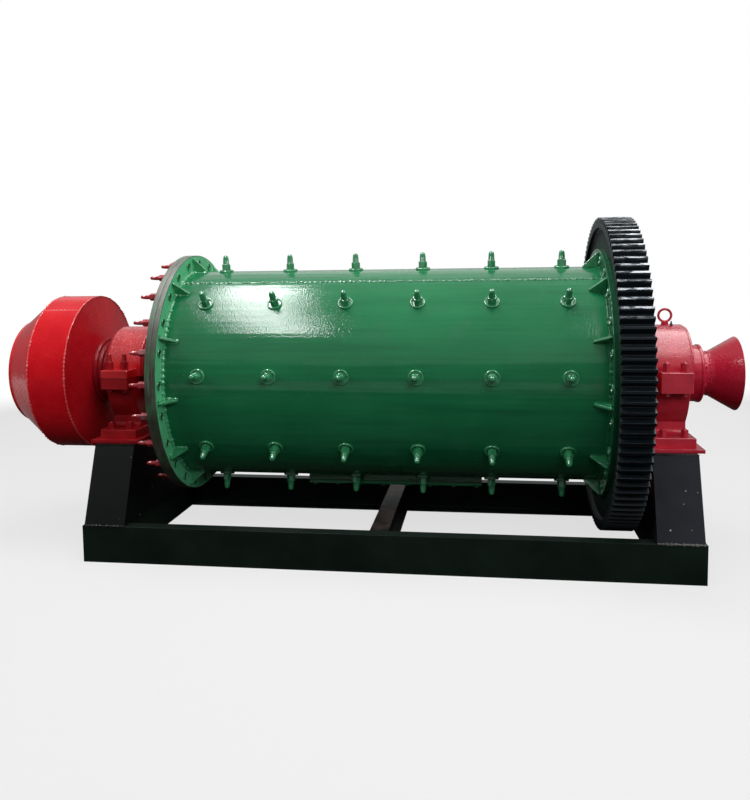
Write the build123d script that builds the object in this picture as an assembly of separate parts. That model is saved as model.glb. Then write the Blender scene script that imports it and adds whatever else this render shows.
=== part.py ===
from build123d import *
from math import acos, cos, degrees, pi, radians, sin, tan
import os

# Ball mill, millimetres. X runs along the drum from the feed end to the gear end.
# Y points to the back and Z up. The origin is on the floor in the middle of the base frame.

# Base frame
FRAME_OVERHANG = 115
FRAME_WIDTH = 1220
BEAM_HEIGHT = 208
BEAM_FLANGE = 78
BEAM_WEB = 9
BEAM_FLANGE_THICKNESS = 11
BEAM_ROOT_RADIUS = 10
CROSS_CENTRE_X = -8
CROSS_WIDTH = 100
CROSS_WEB = 8
END_MEMBER_SPREAD = 204
ANCHOR_HOLE = 26
ANCHOR_FROM_END = 225
ANCHOR_FROM_EDGE = 44

# End supports
SUPPORT_WIDTH = 236
SUPPORT_INSET = 12
SUPPORT_TOP_LENGTH = 890
SUPPORT_PLATE = 12
SOLE_LENGTH = 830
SOLE_WIDTH = 284
SOLE_THICKNESS = 20

# Bearings
BEARING_CENTRE_HEIGHT = 354
HOUSING_WIDTH = 166
HOUSING_RADIUS = 335
HOUSING_WAIST = 470
HOUSING_FILLET = 34
FOOT_LENGTH = 730
FOOT_WIDTH = 220
FOOT_THICKNESS = 50
SPLIT_FLANGE_LENGTH = 790
LOWER_FLANGE_THICKNESS = 62
UPPER_FLANGE_THICKNESS = 48
CAP_RADIUS = 278
CAP_WIDTH = 214
CAP_WALL = 14
CAP_EDGE_RADIUS = 8
CASTING_EDGE_RADIUS = 6
END_RING_THICKNESS = 12
END_RING_INSET = 10
BUSH_RADIUS = 218
BUSH_WIDTH = 150
EYE_RING_RADIUS = 35
EYE_ROD = 14
EYE_ROD_SIDES = 12
EYE_OFFSET_X = 14
EYE_COLLAR_RADIUS = 20
EYE_COLLAR_HEIGHT = 12
EYE_WELD_DEPTH = 2

# Drum
SHELL_LENGTH = 2425
SHELL_RADIUS = 612
SHELL_WALL = 12
FLANGE_REACH = 99
FLANGE_THICKNESS = 30
GUSSET_COUNT = 12
GUSSET_FIRST_ANGLE = 21.7
GUSSET_LENGTH = 85
GUSSET_SETBACK = 15
GUSSET_THICKNESS = 14
GUSSET_NOSE = 10

# Heads and trunnions
HEAD_FLANGE_THICKNESS = 30
HEAD_WALL = 34
HEAD_CONE_INSET = 22
HEAD_DEPTH = 120
HEAD_FILLET = 34
SPIGOT_DEPTH = 14
JOURNAL_RADIUS = 160
TRUNNION_BORE = 118
COLLAR_STEP = 26
FEED_COLLAR_LENGTH = 80
DISCHARGE_COLLAR_LENGTH = 35
COLLAR_GAP = 6
TRUNNION_END = 187

# Girth gear
GEAR_MODULE = 16
GEAR_DEPTH = 161
GEAR_FACE = 164
GEAR_RIM_THICKNESS = 22
GEAR_WEB_THICKNESS = 30
GEAR_WEB_INSET = 24
GEAR_WEB_FILLET = 16
GEAR_GROUND_CLEARANCE = 121
PRESSURE_ANGLE = 20
ADDENDUM = 1.0
DEDENDUM = 1.25
ROOT_ROUNDING = 0.3

# Manhole on the underside of the drum
MANHOLE_ANGLE = -104
MANHOLE_LENGTH = 1035
MANHOLE_ARC = 40
MANHOLE_RIM = 55
MANHOLE_CENTRE_X = 25
MANHOLE_FRAME_HEIGHT = 38
COVER_THICKNESS = 22

# Drum feeder
FEEDER_RADIUS = 470
FEEDER_BAND_WIDTH = 226
FEEDER_PLATE = 8
FEEDER_CONE_PLATE = 10
FEEDER_MOUTH_RADIUS = 317
FEEDER_CONE_DEPTH = 198
FEEDER_LIP_WIDTH = 14
FEEDER_LIP_RADIAL = 26
FEEDER_BACK_DEPTH = 38
NECK_FLANGE_STEP = 45
NECK_FLANGE_THICKNESS = 24
NECK_RING_STEP = 22
NECK_RING_THICKNESS = 18

# Discharge bell
BELL_FLANGE_STEP = 5
BELL_FLANGE_THICKNESS = 15
BELL_NECK_STEP = 4
BELL_NECK_LENGTH = 40
BELL_MOUTH_RADIUS = 209
BELL_CONE_LENGTH = 152
BELL_PLATE = 6

# Clearances
SEAT_GAP = 0.2
RUNNING_GAP = 0.2
END_RING_GAP = 2.5
CUT_OVERRUN = 1

# Radii that follow from those above, the pitch circle at the nearest whole tooth
SPIGOT_RADIUS = SHELL_RADIUS - SHELL_WALL
FLANGE_RADIUS = SHELL_RADIUS + FLANGE_REACH
GEAR_TEETH = round(2 * (FLANGE_RADIUS + GEAR_DEPTH) / GEAR_MODULE)
PITCH_RADIUS = GEAR_MODULE * GEAR_TEETH / 2
TIP_RADIUS = PITCH_RADIUS + ADDENDUM * GEAR_MODULE
ROOT_RADIUS = PITCH_RADIUS - DEDENDUM * GEAR_MODULE
RIM_INNER_RADIUS = ROOT_RADIUS - GEAR_RIM_THICKNESS
BUSH_SEAT_RADIUS = BUSH_RADIUS + SEAT_GAP

# Heights: the gear clears the floor and the stands carry the bearings at its axis
AXIS_HEIGHT = TIP_RADIUS + GEAR_GROUND_CLEARANCE
FOOT_Z = AXIS_HEIGHT - BEARING_CENTRE_HEIGHT
FOOT_TOP_Z = FOOT_Z + FOOT_THICKNESS
SUPPORT_TOP_Z = FOOT_Z - SOLE_THICKNESS
DRUM_AXIS = Axis((0, 0, AXIS_HEIGHT), (1, 0, 0))

# Places along the drum: shell, gear web, heads and bearings follow one another
HEAD_REACH = (HEAD_FLANGE_THICKNESS + HEAD_DEPTH + COLLAR_GAP + END_RING_THICKNESS
              + CAP_WIDTH / 2)
FEED_REACH = HEAD_REACH + FEED_COLLAR_LENGTH
DISCHARGE_REACH = HEAD_REACH + DISCHARGE_COLLAR_LENGTH
BEARING_X = (FEED_REACH + SHELL_LENGTH + GEAR_WEB_THICKNESS + DISCHARGE_REACH) / 2
SHELL_START_X = FEED_REACH - BEARING_X
WEB_X = SHELL_START_X + SHELL_LENGTH
WEB_END_X = WEB_X + GEAR_WEB_THICKNESS
GEAR_X = WEB_X - GEAR_WEB_INSET
TRUNNION_END_X = BEARING_X + TRUNNION_END
NECK_END_X = TRUNNION_END_X + NECK_RING_THICKNESS + NECK_FLANGE_THICKNESS
BAND_END_X = -NECK_END_X - FEEDER_BACK_DEPTH
BAND_START_X = BAND_END_X - FEEDER_BAND_WIDTH
FRAME_END_X = BEARING_X + FRAME_OVERHANG
BEAM_Y = FRAME_WIDTH / 2

os.makedirs("parts", exist_ok=True)


def save(shape, name):
    shape.label = name
    export_step(shape, f"parts/{name}.step")


def drum_profile(corners):
    """A flat face beside the drum axis from (x, radius) corners."""
    return make_face(Polyline(*[(x, 0, AXIS_HEIGHT + radius) for x, radius in corners], close=True))


def rounded(profile, corners, radius):
    """The profile with the named (x, radius) corners rounded."""
    places = [Vector(x, 0, AXIS_HEIGHT + r) for x, r in corners]
    return fillet([profile.vertices().sort_by_distance(place)[0] for place in places], radius)


def turned(profile, arc=360):
    return revolve(profile, DRUM_AXIS, arc)


def ring(start, end, outer, inner, arc=360):
    return turned(drum_profile([(start, inner), (end, inner), (end, outer), (start, outer)]), arc)


def rod(start, end, radius):
    return Pos((start + end) / 2, 0, AXIS_HEIGHT) * Rot(0, 90, 0) * Cylinder(radius, end - start)


def about_axis(shape, angle):
    """Turns a shape made at the top to an angle above the front horizontal."""
    return shape.rotate(DRUM_AXIS, 90 - angle)


def block(low, high):
    size = [b - a for a, b in zip(low, high)]
    middle = [(a + b) / 2 for a, b in zip(low, high)]
    return Pos(*middle) * Box(*size)


def extruded_x(outline, start, end):
    """A profile in Y and Z, drawn out along X."""
    face = make_face(Polyline(*[(start, y, z) for y, z in outline], close=True))
    return extrude(face, amount=end - start, dir=(1, 0, 0))


def mirrored(shape):
    return mirror(shape, about=Plane.YZ)


def channel_section():
    """A rolled channel seen on its end, the back of its web at the origin."""
    section = Pos(BEAM_FLANGE / 2, BEAM_HEIGHT / 2) * Rectangle(BEAM_FLANGE, BEAM_HEIGHT)
    hollow = BEAM_HEIGHT - 2 * BEAM_FLANGE_THICKNESS
    section -= Pos(BEAM_FLANGE / 2 + BEAM_WEB, BEAM_HEIGHT / 2) * Rectangle(BEAM_FLANGE, hollow)
    roots = section.vertices().filter_by_position(Axis.X, BEAM_WEB / 2, BEAM_FLANGE / 2)
    return fillet(roots, BEAM_ROOT_RADIUS)


def front_beam():
    """A channel with its flat web outward and bolt holes in its lower flange."""
    end = Plane(origin=(-FRAME_END_X, -BEAM_Y, 0), x_dir=(0, 1, 0), z_dir=(1, 0, 0))
    beam = extrude(end * channel_section(), amount=2 * FRAME_END_X)
    for side in (-1, 1):
        place = (side * (FRAME_END_X - ANCHOR_FROM_END), ANCHOR_FROM_EDGE - BEAM_Y, 0)
        beam -= Pos(*place) * Cylinder(ANCHOR_HOLE / 2, 3 * BEAM_FLANGE_THICKNESS)
    return beam


def coped_web(start, end):
    """A member's web between the long beams, its corners cut clear of their roots."""
    half = BEAM_Y - BEAM_WEB
    low = BEAM_FLANGE_THICKNESS
    high = BEAM_HEIGHT - BEAM_FLANGE_THICKNESS
    cope = BEAM_ROOT_RADIUS
    outline = [
        (-half, low + cope),
        (cope - half, low),
        (half - cope, low),
        (half, low + cope),
        (half, high - cope),
        (half - cope, high),
        (cope - half, high),
        (-half, high - cope),
    ]
    return extruded_x(outline, start, end)


def cross_channel(web_x, inward):
    """A channel across the frame, its web at web_x and its flanges running inward."""
    middle = Plane(origin=(web_x, 0, 0), x_dir=(inward, 0, 0), z_dir=(0, -inward, 0))
    channel = extrude(middle * channel_section(), amount=BEAM_Y - BEAM_FLANGE, both=True)
    web = sorted((web_x, web_x + inward * BEAM_WEB))
    return channel + coped_web(*web)


def end_members():
    """Two channels face to face across the frame under an end support."""
    return cross_channel(FRAME_END_X, -1) + cross_channel(FRAME_END_X - END_MEMBER_SPREAD, 1)


def centre_member():
    """An I beam across the middle of the frame."""
    section = Rectangle(CROSS_WIDTH, BEAM_HEIGHT)
    hollow = BEAM_HEIGHT - 2 * BEAM_FLANGE_THICKNESS
    for side in (-1, 1):
        section -= Pos(side * (CROSS_WEB + CROSS_WIDTH) / 2, 0) * Rectangle(CROSS_WIDTH, hollow)
    roots = section.vertices().filter_by_position(Axis.X, -CROSS_WIDTH / 4, CROSS_WIDTH / 4)
    section = fillet(roots, BEAM_ROOT_RADIUS)
    middle = Plane(origin=(CROSS_CENTRE_X, 0, BEAM_HEIGHT / 2), x_dir=(1, 0, 0), z_dir=(0, -1, 0))
    beam = extrude(middle * section, amount=BEAM_Y - BEAM_FLANGE, both=True)
    return beam + coped_web(CROSS_CENTRE_X - CROSS_WEB / 2, CROSS_CENTRE_X + CROSS_WEB / 2)


def support():
    """A welded stand on the frame's end: leaning front and back plates between side plates."""
    right = FRAME_END_X - SUPPORT_INSET
    left = right - SUPPORT_WIDTH
    low = BEAM_HEIGHT
    high = SUPPORT_TOP_Z
    half_low = BEAM_Y
    half_high = SUPPORT_TOP_LENGTH / 2
    outer = extruded_x([(-half_low, low), (half_low, low), (half_high, high), (-half_high, high)],
                       left, right)
    lean = (half_low - half_high) / (high - low)
    wall = SUPPORT_PLATE * (1 + lean * lean) ** 0.5
    roof = high - SUPPORT_PLATE
    inner_high = half_low - lean * (roof - low) - wall
    inner = extruded_x([(-half_low + wall, low), (half_low - wall, low),
                        (inner_high, roof), (-inner_high, roof)],
                       left + SUPPORT_PLATE, right - SUPPORT_PLATE)
    return outer - inner


def sole_plate():
    return block((BEARING_X - SOLE_WIDTH / 2, -SOLE_LENGTH / 2, SUPPORT_TOP_Z),
                 (BEARING_X + SOLE_WIDTH / 2, SOLE_LENGTH / 2, FOOT_Z))


def housing_section():
    """The housing seen along the drum: round body, waist and split flange."""
    split = Pos(0, -BEARING_CENTRE_HEIGHT) * Rectangle(FRAME_WIDTH, 2 * BEARING_CENTRE_HEIGHT)
    waist_height = BEARING_CENTRE_HEIGHT - FOOT_THICKNESS
    section = Circle(HOUSING_RADIUS)
    section += Pos(0, -waist_height / 2) * Rectangle(HOUSING_WAIST, waist_height)
    section &= Pos(0, -waist_height / 2) * Rectangle(FRAME_WIDTH, waist_height)
    section += Pos(0, -LOWER_FLANGE_THICKNESS / 2) * Rectangle(SPLIT_FLANGE_LENGTH,
                                                              LOWER_FLANGE_THICKNESS)
    return section & split


def bearing_housing():
    """The cast lower half, bored for the bush, on its bolted foot."""
    left = BEARING_X - HOUSING_WIDTH / 2
    right = BEARING_X + HOUSING_WIDTH / 2
    side = Plane(origin=(left, 0, AXIS_HEIGHT), x_dir=(0, 1, 0), z_dir=(1, 0, 0))
    body = extrude(side * housing_section(), amount=HOUSING_WIDTH)
    outline = [edge for edge in body.edges()
               if edge.bounding_box().size.X < CUT_OVERRUN
               and FOOT_TOP_Z + CUT_OVERRUN < edge.center().Z < AXIS_HEIGHT - CUT_OVERRUN]
    body = fillet(outline, CASTING_EDGE_RADIUS)
    for end in (-1, 1):
        corner = end * HOUSING_WAIST / 2
        ys = sorted((corner, corner + end * HOUSING_FILLET))
        fill = block((left, ys[0], FOOT_TOP_Z), (right, ys[1], FOOT_TOP_Z + HOUSING_FILLET))
        centre = (BEARING_X, corner + end * HOUSING_FILLET, FOOT_TOP_Z + HOUSING_FILLET)
        fill -= Pos(*centre) * Rot(0, 90, 0) * Cylinder(HOUSING_FILLET, 2 * HOUSING_WIDTH)
        body += fill
    foot = block((BEARING_X - FOOT_WIDTH / 2, -FOOT_LENGTH / 2, FOOT_Z),
                 (BEARING_X + FOOT_WIDTH / 2, FOOT_LENGTH / 2, FOOT_TOP_Z))
    foot = fillet(foot.edges().filter_by(Axis.Z) + foot.edges().group_by(Axis.Z)[-1],
                  CASTING_EDGE_RADIUS)
    body += foot
    return body - rod(left - CUT_OVERRUN, right + CUT_OVERRUN, BUSH_SEAT_RADIUS)


def bearing_cap():
    """The hollow upper half: a round cover with end walls on a bolted flange."""
    left = BEARING_X - CAP_WIDTH / 2
    right = BEARING_X + CAP_WIDTH / 2
    half_flange = HOUSING_WIDTH / 2
    drum = rod(left, right, CAP_RADIUS)
    cap = fillet(drum.edges().filter_by(GeomType.CIRCLE), CAP_EDGE_RADIUS)
    cap &= block((left, -FRAME_WIDTH, AXIS_HEIGHT), (right, FRAME_WIDTH, 2 * AXIS_HEIGHT))
    flange = block((BEARING_X - half_flange, -SPLIT_FLANGE_LENGTH / 2, AXIS_HEIGHT),
                   (BEARING_X + half_flange, SPLIT_FLANGE_LENGTH / 2,
                    AXIS_HEIGHT + UPPER_FLANGE_THICKNESS))
    cap += fillet(flange.edges().filter_by(Axis.Z) + flange.edges().group_by(Axis.Z)[-1],
                  CASTING_EDGE_RADIUS)
    cap -= rod(left + CAP_WALL, right - CAP_WALL, CAP_RADIUS - CAP_WALL)
    return cap - rod(left - CUT_OVERRUN, right + CUT_OVERRUN, BUSH_SEAT_RADIUS)


def bearing_bush():
    left = BEARING_X - BUSH_WIDTH / 2
    return ring(left, left + BUSH_WIDTH, BUSH_RADIUS, JOURNAL_RADIUS + RUNNING_GAP)


def end_rings():
    """Half round sealing plates on the cap's two faces."""
    rings = Part()
    for side in (-1, 1):
        face = BEARING_X + side * CAP_WIDTH / 2
        start, end = sorted((face, face + side * END_RING_THICKNESS))
        whole = ring(start, end, CAP_RADIUS - END_RING_INSET, JOURNAL_RADIUS + END_RING_GAP)
        rings += whole & block((start, -FRAME_WIDTH, AXIS_HEIGHT),
                               (end, FRAME_WIDTH, 2 * AXIS_HEIGHT))
    return rings


def eyebolt():
    """A lifting ring on a collar that sits on the cap's crown."""
    x = BEARING_X + EYE_OFFSET_X
    crown = AXIS_HEIGHT + CAP_RADIUS + SEAT_GAP
    collar = Pos(x, 0, crown + EYE_COLLAR_HEIGHT / 2) * Cylinder(EYE_COLLAR_RADIUS, EYE_COLLAR_HEIGHT)
    centre_z = crown + EYE_COLLAR_HEIGHT + EYE_RING_RADIUS + EYE_ROD / 2 - EYE_WELD_DEPTH
    section = Pos(EYE_RING_RADIUS, 0) * RegularPolygon(EYE_ROD / 2, EYE_ROD_SIDES)
    loop = revolve(section, Axis.Y)
    return collar + Pos(x, 0, centre_z) * Rot(90, 0, 0) * Rot(90, 0, 0) * loop


def manhole_sector(start, end, outer, inner, arc):
    """A curved slab on the shell, centred on the manhole."""
    slab = ring(start, end, outer, inner, arc)
    return about_axis(slab.rotate(DRUM_AXIS, -arc / 2), MANHOLE_ANGLE)


def manhole_opening(outer, inner):
    """The hole inside the manhole's rim, from one radius to another."""
    half = MANHOLE_LENGTH / 2 - MANHOLE_RIM
    arc = MANHOLE_ARC - 2 * degrees(MANHOLE_RIM / SHELL_RADIUS)
    return manhole_sector(MANHOLE_CENTRE_X - half, MANHOLE_CENTRE_X + half, outer, inner, arc)


def manhole_slab(outer, inner):
    half = MANHOLE_LENGTH / 2
    return manhole_sector(MANHOLE_CENTRE_X - half, MANHOLE_CENTRE_X + half, outer, inner,
                          MANHOLE_ARC)


def shell():
    tube = ring(SHELL_START_X, WEB_X, SHELL_RADIUS, SPIGOT_RADIUS)
    return tube - manhole_opening(SHELL_RADIUS + SHELL_WALL, SPIGOT_RADIUS - SHELL_WALL)


def manhole_frame():
    low = SHELL_RADIUS + SEAT_GAP
    high = SHELL_RADIUS + MANHOLE_FRAME_HEIGHT
    return manhole_slab(high, low) - manhole_opening(high + CUT_OVERRUN, low - CUT_OVERRUN)


def manhole_cover():
    low = SHELL_RADIUS + MANHOLE_FRAME_HEIGHT + SEAT_GAP
    return manhole_slab(low + COVER_THICKNESS, low)


def flange(start):
    return ring(start, start + FLANGE_THICKNESS, FLANGE_RADIUS, SHELL_RADIUS + SEAT_GAP)


def gussets(face_x, inward):
    """Triangular plates between a flange and the shell."""
    foot = AXIS_HEIGHT + SHELL_RADIUS + SEAT_GAP
    top = AXIS_HEIGHT + FLANGE_RADIUS - GUSSET_SETBACK
    tip = face_x + inward * GUSSET_LENGTH
    half = GUSSET_THICKNESS / 2
    corners = [
        (face_x, -half, foot),
        (tip, -half, foot),
        (tip, -half, foot + GUSSET_NOSE),
        (face_x + inward * GUSSET_NOSE, -half, top),
        (face_x, -half, top),
    ]
    plate = extrude(make_face(Polyline(*corners, close=True)), amount=GUSSET_THICKNESS, dir=(0, 1, 0))
    step = 360 / GUSSET_COUNT
    return Compound([about_axis(plate, GUSSET_FIRST_ANGLE + step * k) for k in range(GUSSET_COUNT)])


def head(face_x, outward, collar_length):
    """A cast head: bolting flange, steep cone and the hub that holds the trunnion."""
    def at(distance):
        return face_x + outward * distance

    cone_start = (at(HEAD_FLANGE_THICKNESS), SHELL_RADIUS - HEAD_CONE_INSET)
    cone_end = (at(HEAD_FLANGE_THICKNESS + HEAD_DEPTH), JOURNAL_RADIUS + COLLAR_STEP)
    bore = JOURNAL_RADIUS + SEAT_GAP
    hub_end = cone_end[0] + outward * collar_length
    profile = drum_profile([
        (at(-SPIGOT_DEPTH), SPIGOT_RADIUS - SEAT_GAP),
        (at(0), SPIGOT_RADIUS - SEAT_GAP),
        (at(0), FLANGE_RADIUS),
        (at(HEAD_FLANGE_THICKNESS), FLANGE_RADIUS),
        cone_start,
        cone_end,
        (hub_end, JOURNAL_RADIUS + COLLAR_STEP),
        (hub_end, bore),
        (cone_end[0] - outward * HEAD_WALL, bore),
        (at(-SPIGOT_DEPTH), SHELL_RADIUS - HEAD_CONE_INSET - HEAD_WALL),
    ])
    return turned(rounded(profile, [cone_start, cone_end], HEAD_FILLET))


def trunnion(face_x, outward):
    """The hollow journal, from the inner face of the head's hub to its free end."""
    inner_end = face_x + outward * (HEAD_FLANGE_THICKNESS + HEAD_DEPTH - HEAD_WALL)
    start, end = sorted((inner_end, outward * TRUNNION_END_X))
    return ring(start, end, JOURNAL_RADIUS, TRUNNION_BORE)


def involute(radius, base):
    """The angle by which an involute has turned at a radius."""
    pressure = acos(min(1.0, base / radius))
    return tan(pressure) - pressure


def gear_outline():
    """Involute flanks, flat tips and rounded roots, tooth by tooth around the rim."""
    base = PITCH_RADIUS * cos(radians(PRESSURE_ANGLE))
    pitch = 2 * pi / GEAR_TEETH
    at_pitch = pitch / 4 + involute(PITCH_RADIUS, base)
    flank_start = ROOT_RADIUS + ROOT_ROUNDING * GEAR_MODULE

    def point(radius, angle):
        return Vector(GEAR_X, radius * sin(angle), AXIS_HEIGHT + radius * cos(angle))

    def flank(radius, middle, side):
        return point(radius, middle + side * (at_pitch - involute(radius, base)))

    edges = []
    for tooth in range(GEAR_TEETH):
        middle = pitch * tooth
        rising = [flank(radius, middle, -1) for radius in (flank_start, PITCH_RADIUS, TIP_RADIUS)]
        falling = [flank(radius, middle, 1) for radius in (TIP_RADIUS, PITCH_RADIUS, flank_start)]
        edges.append(ThreePointArc(*rising))
        edges.append(Line(rising[-1], falling[0]))
        edges.append(ThreePointArc(*falling))
        edges.append(ThreePointArc(falling[-1], point(ROOT_RADIUS, middle + pitch / 2),
                                   flank(flank_start, middle + pitch, -1)))
    return Wire(edges)


def girth_gear():
    """The toothed rim of the spur gear."""
    blank = extrude(make_face(gear_outline()), amount=GEAR_FACE, dir=(1, 0, 0))
    return blank - rod(GEAR_X - CUT_OVERRUN, GEAR_X + GEAR_FACE + CUT_OVERRUN, RIM_INNER_RADIUS)


def gear_web():
    """The plate between the shell's flange and the head that carries the rim."""
    rim = RIM_INNER_RADIUS - SEAT_GAP
    low = WEB_X - GEAR_WEB_FILLET
    high = WEB_END_X + GEAR_WEB_FILLET
    plate = ring(WEB_X, WEB_END_X, rim, SPIGOT_RADIUS)
    flare = ring(low, high, rim, rim - GEAR_WEB_FILLET)
    for x in (low, high):
        flare -= turned(Plane.XZ * Pos(x, AXIS_HEIGHT + rim - GEAR_WEB_FILLET) * Circle(GEAR_WEB_FILLET))
    return plate + flare


def feeder_band():
    return ring(BAND_START_X, BAND_END_X, FEEDER_RADIUS, FEEDER_RADIUS - FEEDER_PLATE)


def feeder_front_cone():
    """The cone that narrows from the band to the feed mouth and its rolled lip."""
    lip = BAND_START_X - FEEDER_CONE_DEPTH
    return turned(drum_profile([
        (BAND_START_X, FEEDER_RADIUS),
        (lip, FEEDER_MOUTH_RADIUS),
        (lip - FEEDER_LIP_WIDTH, FEEDER_MOUTH_RADIUS),
        (lip - FEEDER_LIP_WIDTH, FEEDER_MOUTH_RADIUS - FEEDER_LIP_RADIAL),
        (lip, FEEDER_MOUTH_RADIUS - FEEDER_LIP_RADIAL),
        (lip, FEEDER_MOUTH_RADIUS - FEEDER_CONE_PLATE),
        (BAND_START_X, FEEDER_RADIUS - FEEDER_CONE_PLATE),
    ]))


def feeder_back_wall():
    """The shallow cone between the band and the neck."""
    neck = -NECK_END_X
    return turned(drum_profile([
        (BAND_END_X, FEEDER_RADIUS),
        (BAND_END_X, FEEDER_RADIUS - FEEDER_PLATE),
        (neck - FEEDER_PLATE, TRUNNION_BORE),
        (neck, TRUNNION_BORE),
        (neck, JOURNAL_RADIUS + NECK_RING_STEP),
    ]))


def neck_rings():
    """The flange pair that joins the feeder to the trunnion."""
    middle = -TRUNNION_END_X - NECK_RING_THICKNESS
    return turned(drum_profile([
        (-NECK_END_X, TRUNNION_BORE),
        (-TRUNNION_END_X, TRUNNION_BORE),
        (-TRUNNION_END_X, JOURNAL_RADIUS + NECK_RING_STEP),
        (middle, JOURNAL_RADIUS + NECK_RING_STEP),
        (middle, JOURNAL_RADIUS + NECK_FLANGE_STEP),
        (-NECK_END_X, JOURNAL_RADIUS + NECK_FLANGE_STEP),
    ]))


def bell_flange():
    return ring(TRUNNION_END_X, TRUNNION_END_X + BELL_FLANGE_THICKNESS,
                JOURNAL_RADIUS + BELL_FLANGE_STEP, TRUNNION_BORE)


def discharge_bell():
    """A short neck and a flared cone of rolled plate."""
    start = TRUNNION_END_X + BELL_FLANGE_THICKNESS
    flare = start + BELL_NECK_LENGTH
    mouth = flare + BELL_CONE_LENGTH
    neck = TRUNNION_BORE + BELL_NECK_STEP
    return turned(drum_profile([
        (start, neck - BELL_PLATE),
        (flare, neck - BELL_PLATE),
        (mouth, BELL_MOUTH_RADIUS - BELL_PLATE),
        (mouth, BELL_MOUTH_RADIUS),
        (flare, neck),
        (start, neck),
    ]))


def main():
    beam = front_beam()
    save(beam, "front_beam")
    save(mirror(beam, about=Plane.XZ), "rear_beam")
    save(centre_member(), "centre_cross_member")
    right_half = {
        "end_cross_members": end_members(),
        "end_support": support(),
        "sole_plate": sole_plate(),
        "bearing_housing": bearing_housing(),
        "bearing_cap": bearing_cap(),
        "bearing_bush": bearing_bush(),
        "bearing_end_rings": end_rings(),
    }
    for name, shape in right_half.items():
        save(shape, f"right_{name}")
        save(mirrored(shape), f"left_{name}")
    save(eyebolt(), "cap_eyebolt")
    save(shell(), "drum_shell")
    save(manhole_frame(), "manhole_frame")
    save(manhole_cover(), "manhole_cover")
    save(flange(SHELL_START_X), "left_shell_flange")
    save(flange(WEB_X - FLANGE_THICKNESS), "right_shell_flange")
    save(gussets(SHELL_START_X + FLANGE_THICKNESS, 1), "left_flange_gussets")
    save(gussets(WEB_X - FLANGE_THICKNESS, -1), "right_flange_gussets")
    save(head(SHELL_START_X, -1, FEED_COLLAR_LENGTH), "feed_head")
    save(head(WEB_END_X, 1, DISCHARGE_COLLAR_LENGTH), "discharge_head")
    save(trunnion(SHELL_START_X, -1), "feed_trunnion")
    save(trunnion(WEB_END_X, 1), "discharge_trunnion")
    save(girth_gear(), "girth_gear")
    save(gear_web(), "girth_gear_web")
    save(feeder_band(), "feeder_band")
    save(feeder_front_cone(), "feeder_front_cone")
    save(feeder_back_wall(), "feeder_back_wall")
    save(neck_rings(), "feeder_neck_rings")
    save(bell_flange(), "discharge_flange")
    save(discharge_bell(), "discharge_bell")


main()
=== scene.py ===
import math
import random

import bmesh
import bpy
from mathutils import Matrix, Vector


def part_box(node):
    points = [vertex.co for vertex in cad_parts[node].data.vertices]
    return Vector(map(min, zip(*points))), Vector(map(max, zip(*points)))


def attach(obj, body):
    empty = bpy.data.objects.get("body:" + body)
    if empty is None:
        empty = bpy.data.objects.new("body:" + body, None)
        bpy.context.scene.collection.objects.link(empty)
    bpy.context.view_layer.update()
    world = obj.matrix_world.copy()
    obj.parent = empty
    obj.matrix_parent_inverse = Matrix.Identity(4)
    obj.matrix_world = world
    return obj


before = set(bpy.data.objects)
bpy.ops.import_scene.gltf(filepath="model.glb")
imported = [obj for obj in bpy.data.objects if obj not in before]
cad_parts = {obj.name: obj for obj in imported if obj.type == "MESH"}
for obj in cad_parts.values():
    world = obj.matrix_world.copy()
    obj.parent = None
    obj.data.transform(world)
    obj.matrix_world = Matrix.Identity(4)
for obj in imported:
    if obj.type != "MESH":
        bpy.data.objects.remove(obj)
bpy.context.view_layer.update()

# the camera stands right of the drum's middle, above its axis, turned a little left and down
CAMERA_PLACE = (0.5609, -4.6913, 1.5725)
CAMERA_TURN = 7.907
CAMERA_TILT = -4.736
CAMERA_ROLL = -0.696
PICTURE_HEIGHT = 800
FOCAL_LENGTH_PIXELS = 793.6
LEVEL_ROW_PIXELS = 343.4
SENSOR = 36

# lamps and surroundings
LAMP_AIM = Vector((0, 0, 1))
LAMPS = {
    "ceiling_lamp": {"place": (-0.1, -0.5, 5.2), "size": (4.0, 2.4), "power": 140},
    "front_lamp": {"place": (2.4, -6.4, 4.6), "size": (4.0, 2.6), "power": 150},
    "left_lamp": {"place": (-5.0, -2.8, 3.0), "size": (2.4, 2.0), "power": 64},
    "right_lamp": {"place": (5.6, -2.2, 2.8), "size": (2.4, 2.0), "power": 70},
    "back_lamp": {"place": (0.2, 6.5, 3.4), "size": (4.0, 2.6), "power": 110},
}
ROOF_WINDOWS = {
    "far_left_roof_window": {"place": (-3.75, -0.8, 4.3), "size": (1.8, 5.0), "power": 30},
    "left_roof_window": {"place": (-1.52, -1.2, 4.3), "size": (0.70, 4.2), "power": 340},
    "right_roof_window": {"place": (2.33, -0.6, 4.3), "size": (1.14, 5.2), "power": 175},
}
SKY_LEVEL = 0.06
WALL_DISTANCE = 11
WALL_HEIGHT = 4.2
WALL_FOOT = 0.01
WALL_STEPS = 64
FLOOR_SIZE = 400
FLOOR_DROP = 0.001
SHADOWED_FLOOR_REACH = 3.2
WHITE_FLOOR_REACH = 8.0
FLOOR_GLOW = 0.70

# liner bolts, stud ends, feeder welds and the grease nipple start this far inside what carries them
SUNK = 0.001

# nuts, washers and threads of any size; a TURN below is by how much nuts are turned on the spot
NUT_STEPS = 36
NUT_CHAMFER = 30
NUT_EDGE_SHARE = 0.02
NUT_TOP_SHARE = 0.96
WASHER_STEPS = 28
WASHER_EDGE_SHARE = 0.8
WASHER_TOP_SHARE = 0.98
WASHER_THICKNESS = 0.004
STUD_STEPS = 20
THREAD_PITCH = 0.004
THREAD_DEPTH = 0.0009
TIP_STEPS = 5
TIP_LENGTH_SHARE = 0.75

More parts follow.
